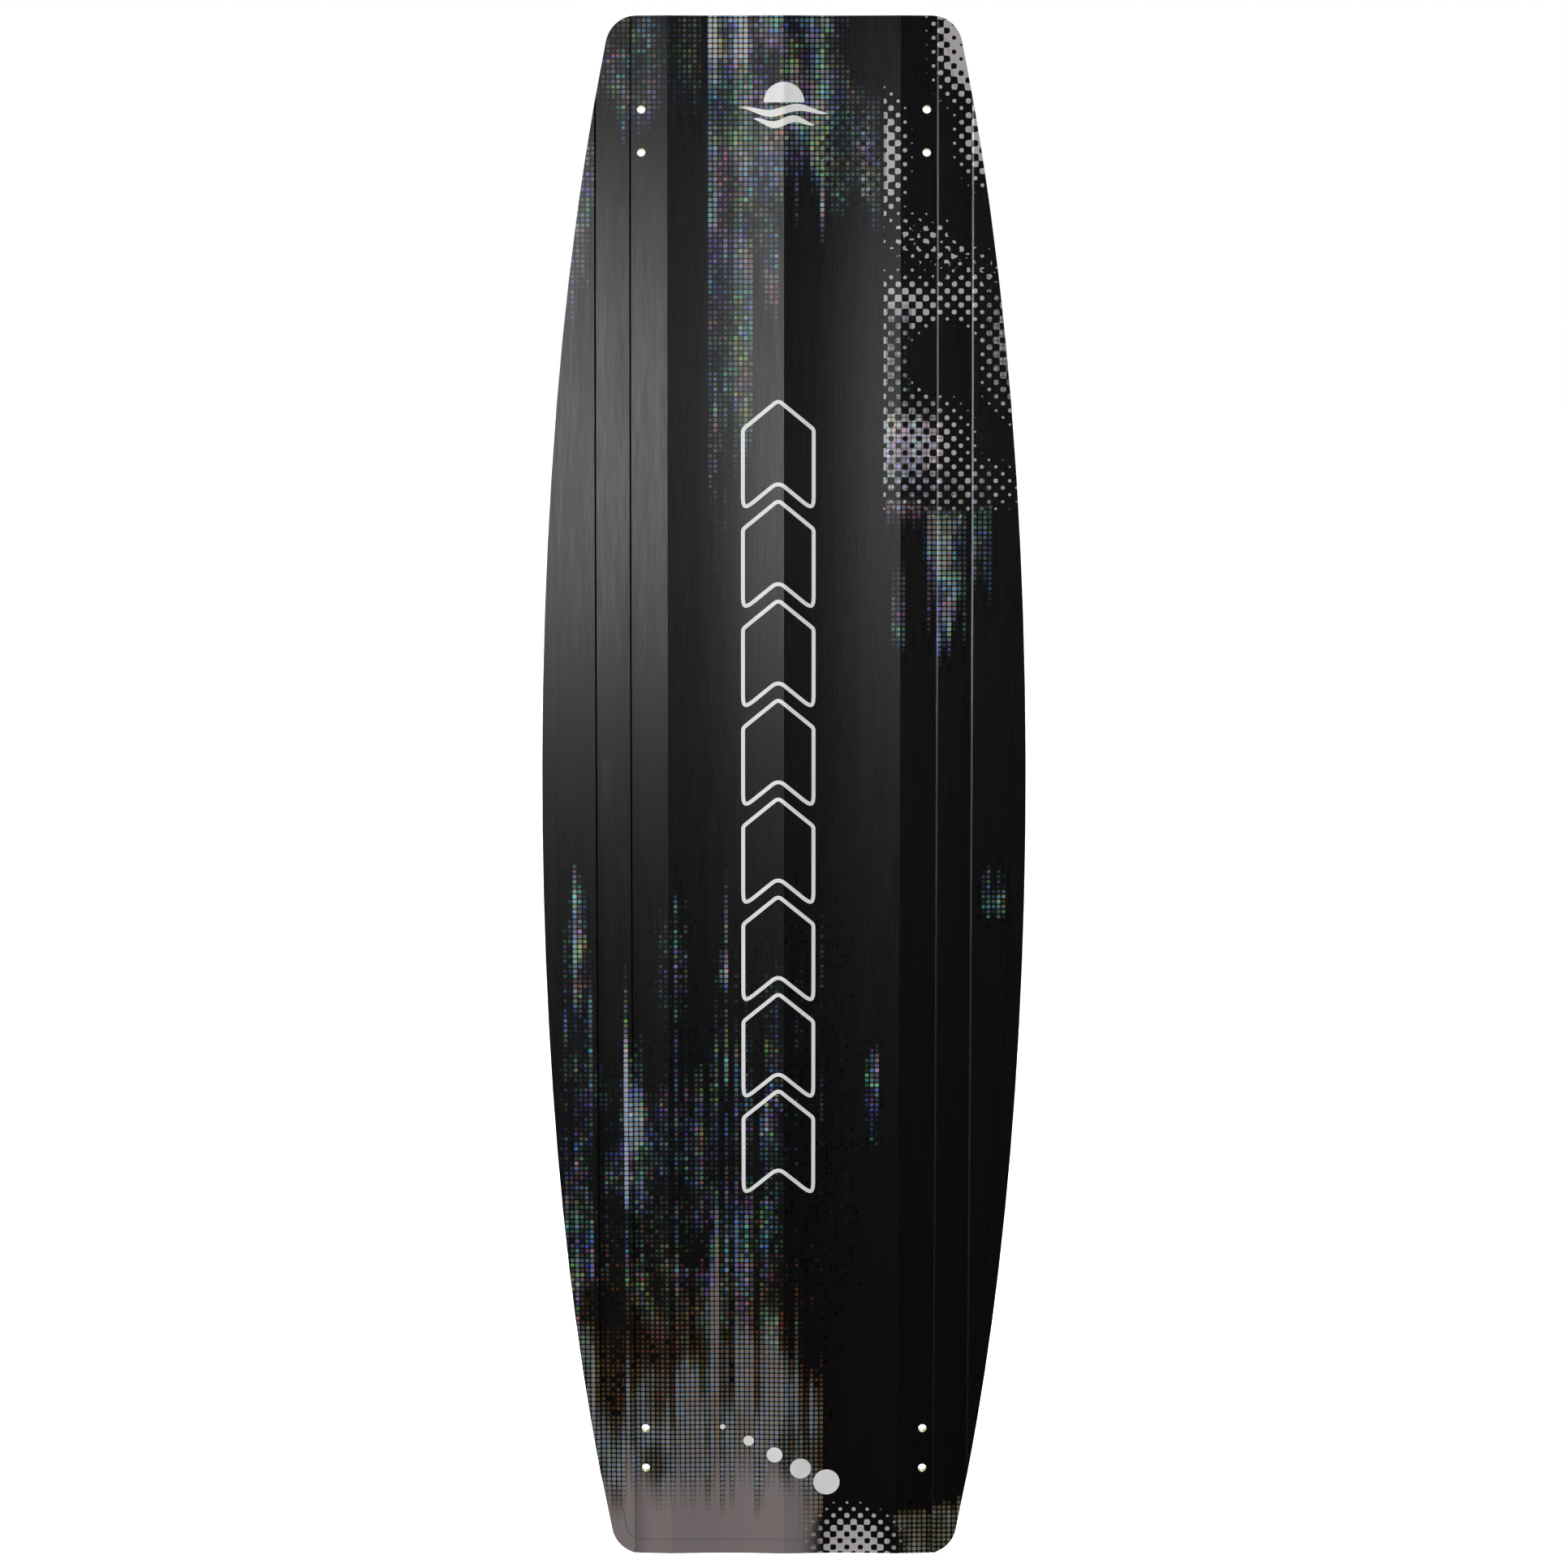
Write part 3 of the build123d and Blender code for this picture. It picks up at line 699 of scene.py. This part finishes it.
def emblem(mesh):
    """A plain sun above two waves."""
    angles = [math.pi * k / SUN_STEPS for k in range(SUN_STEPS + 1)]
    centre = Vector((0.0, EMBLEM_LEVEL))
    sun = [centre + Vector((math.cos(a), math.sin(a))) * SUN_RADIUS for a in angles]
    patch(mesh, resampled(sun, SAMPLE), centre + Vector((0.0, SUN_MIDDLE)))
    for drop, half_length in WAVES:
        upper, lower = [], []
        for k in range(WAVE_STEPS + 1):
            t = k / WAVE_STEPS
            x = half_length * (2 * t - 1)
            thick = WAVE_THICKNESS * math.sin(math.pi * t) ** 0.7 + WAVE_TIP
            z = EMBLEM_LEVEL - drop + WAVE_HEIGHT * math.sin(3 * math.pi * (t - 0.5))
            upper.append(Vector((x, z + thick / 2)))
            lower.append(Vector((x, z - thick / 2)))
        strip(mesh, upper, lower)


DISCS = 5
DISCS_LEFT, DISCS_LEVEL = -0.26 * HALF_WIDTH, -0.825 * HALF_LENGTH
DISC_PITCH = 0.11 * HALF_WIDTH
DISC_DROP = 0.019 * HALF_LENGTH
DISC_RADIUS = 2.4           # of the first disc; the others are whole multiples of it
DISC_STEPS = 32


def dots(mesh):
    """A straight row of evenly spaced discs near the bottom tip, each larger than the last."""
    for place in range(DISCS):
        centre = Vector((DISCS_LEFT + DISC_PITCH * place, DISCS_LEVEL - DISC_DROP * place))
        radius = DISC_RADIUS * (place + 1)
        angles = [2 * math.pi * n / DISC_STEPS for n in range(DISC_STEPS)]
        ring = [centre + Vector((math.cos(a), math.sin(a))) * radius for a in angles]
        patch(mesh, ring, centre)


# ---- stage, light and camera ---------------------------------------------------------------

def stage():
    """A pale floor under the board."""
    lowest = cad_box[0].z
    bpy.ops.mesh.primitive_plane_add(size=FLOOR_SIZE, location=(0, 0, lowest))
    floor = bpy.context.object
    floor.name = "floor"
    g = Shader("pale_floor")
    g.finish(base_color=(0.9, 0.9, 0.9), roughness=0.9, emission_color=WHITE, emission_strength=0.5)
    floor.data.materials.append(g.material)
    floor.visible_glossy = False
    floor.visible_diffuse = False


def world():
    """White behind the board and on its colours, but not in its gloss."""
    surroundings = bpy.data.worlds.new("studio")
    bpy.context.scene.world = surroundings
    surroundings.use_nodes = True
    back = surroundings.node_tree.nodes["Background"]
    back.inputs["Color"].default_value = (1, 1, 1, 1)
    back.inputs["Strength"].default_value = 1.0
    surroundings.cycles_visibility.glossy = False


# Name, azimuth and elevation in degrees, distance, width and height in metres, watts.
LIGHTS = (
    ("key", -15, 8.9, 6.0, 1.7, 1.6, 61),
    ("left_strip", -80, 12, 2.6, 0.5, 1.2, 130),
    ("deck_fill", 165, 24, 3.2, 1.8, 1.2, 40),
    ("deck_gloss", 128, -7, 2.2, 0.5, 0.4, 9),
    ("deck_side", -128, -6, 2.4, 0.5, 0.4, 9),
)


def softbox(name, azimuth, elevation, distance, width, height, watts):
    """A soft area light that faces the board."""
    a, e = math.radians(azimuth), math.radians(elevation)
    away = Vector((math.sin(a) * math.cos(e), -math.cos(a) * math.cos(e), math.sin(e)))
    light = bpy.data.lights.new(name, "AREA")
    light.shape = "RECTANGLE"
    light.size, light.size_y = width, height
    light.energy = watts
    lamp = bpy.data.objects.new(name, light)
    lamp.location = away * distance
    lamp.rotation_mode = "QUATERNION"
    lamp.rotation_quaternion = (-away).to_track_quat("-Z", "Y")
    lamp.visible_camera = False
    bpy.context.scene.collection.objects.link(lamp)


def camera():
    data = bpy.data.cameras.new("camera")
    data.lens, data.sensor_width = LENS, SENSOR
    eye = bpy.data.objects.new("camera", data)
    eye.location = (0.0, cad_box[0].y - CAMERA_DISTANCE, CAMERA_HEIGHT)
    eye.rotation_euler = (math.pi / 2 - CAMERA_PITCH, 0.0, 0.0)
    bpy.context.scene.collection.objects.link(eye)
    bpy.context.scene.camera = eye


INK = print_ink()
dress_nodes()
print_piece("print_band", band)
print_piece("print_emblem", emblem)
print_piece("print_dots", dots)
stage()
world()
for light in LIGHTS:
    softbox(*light)
camera()
bpy.context.scene.view_settings.view_transform = "Standard"
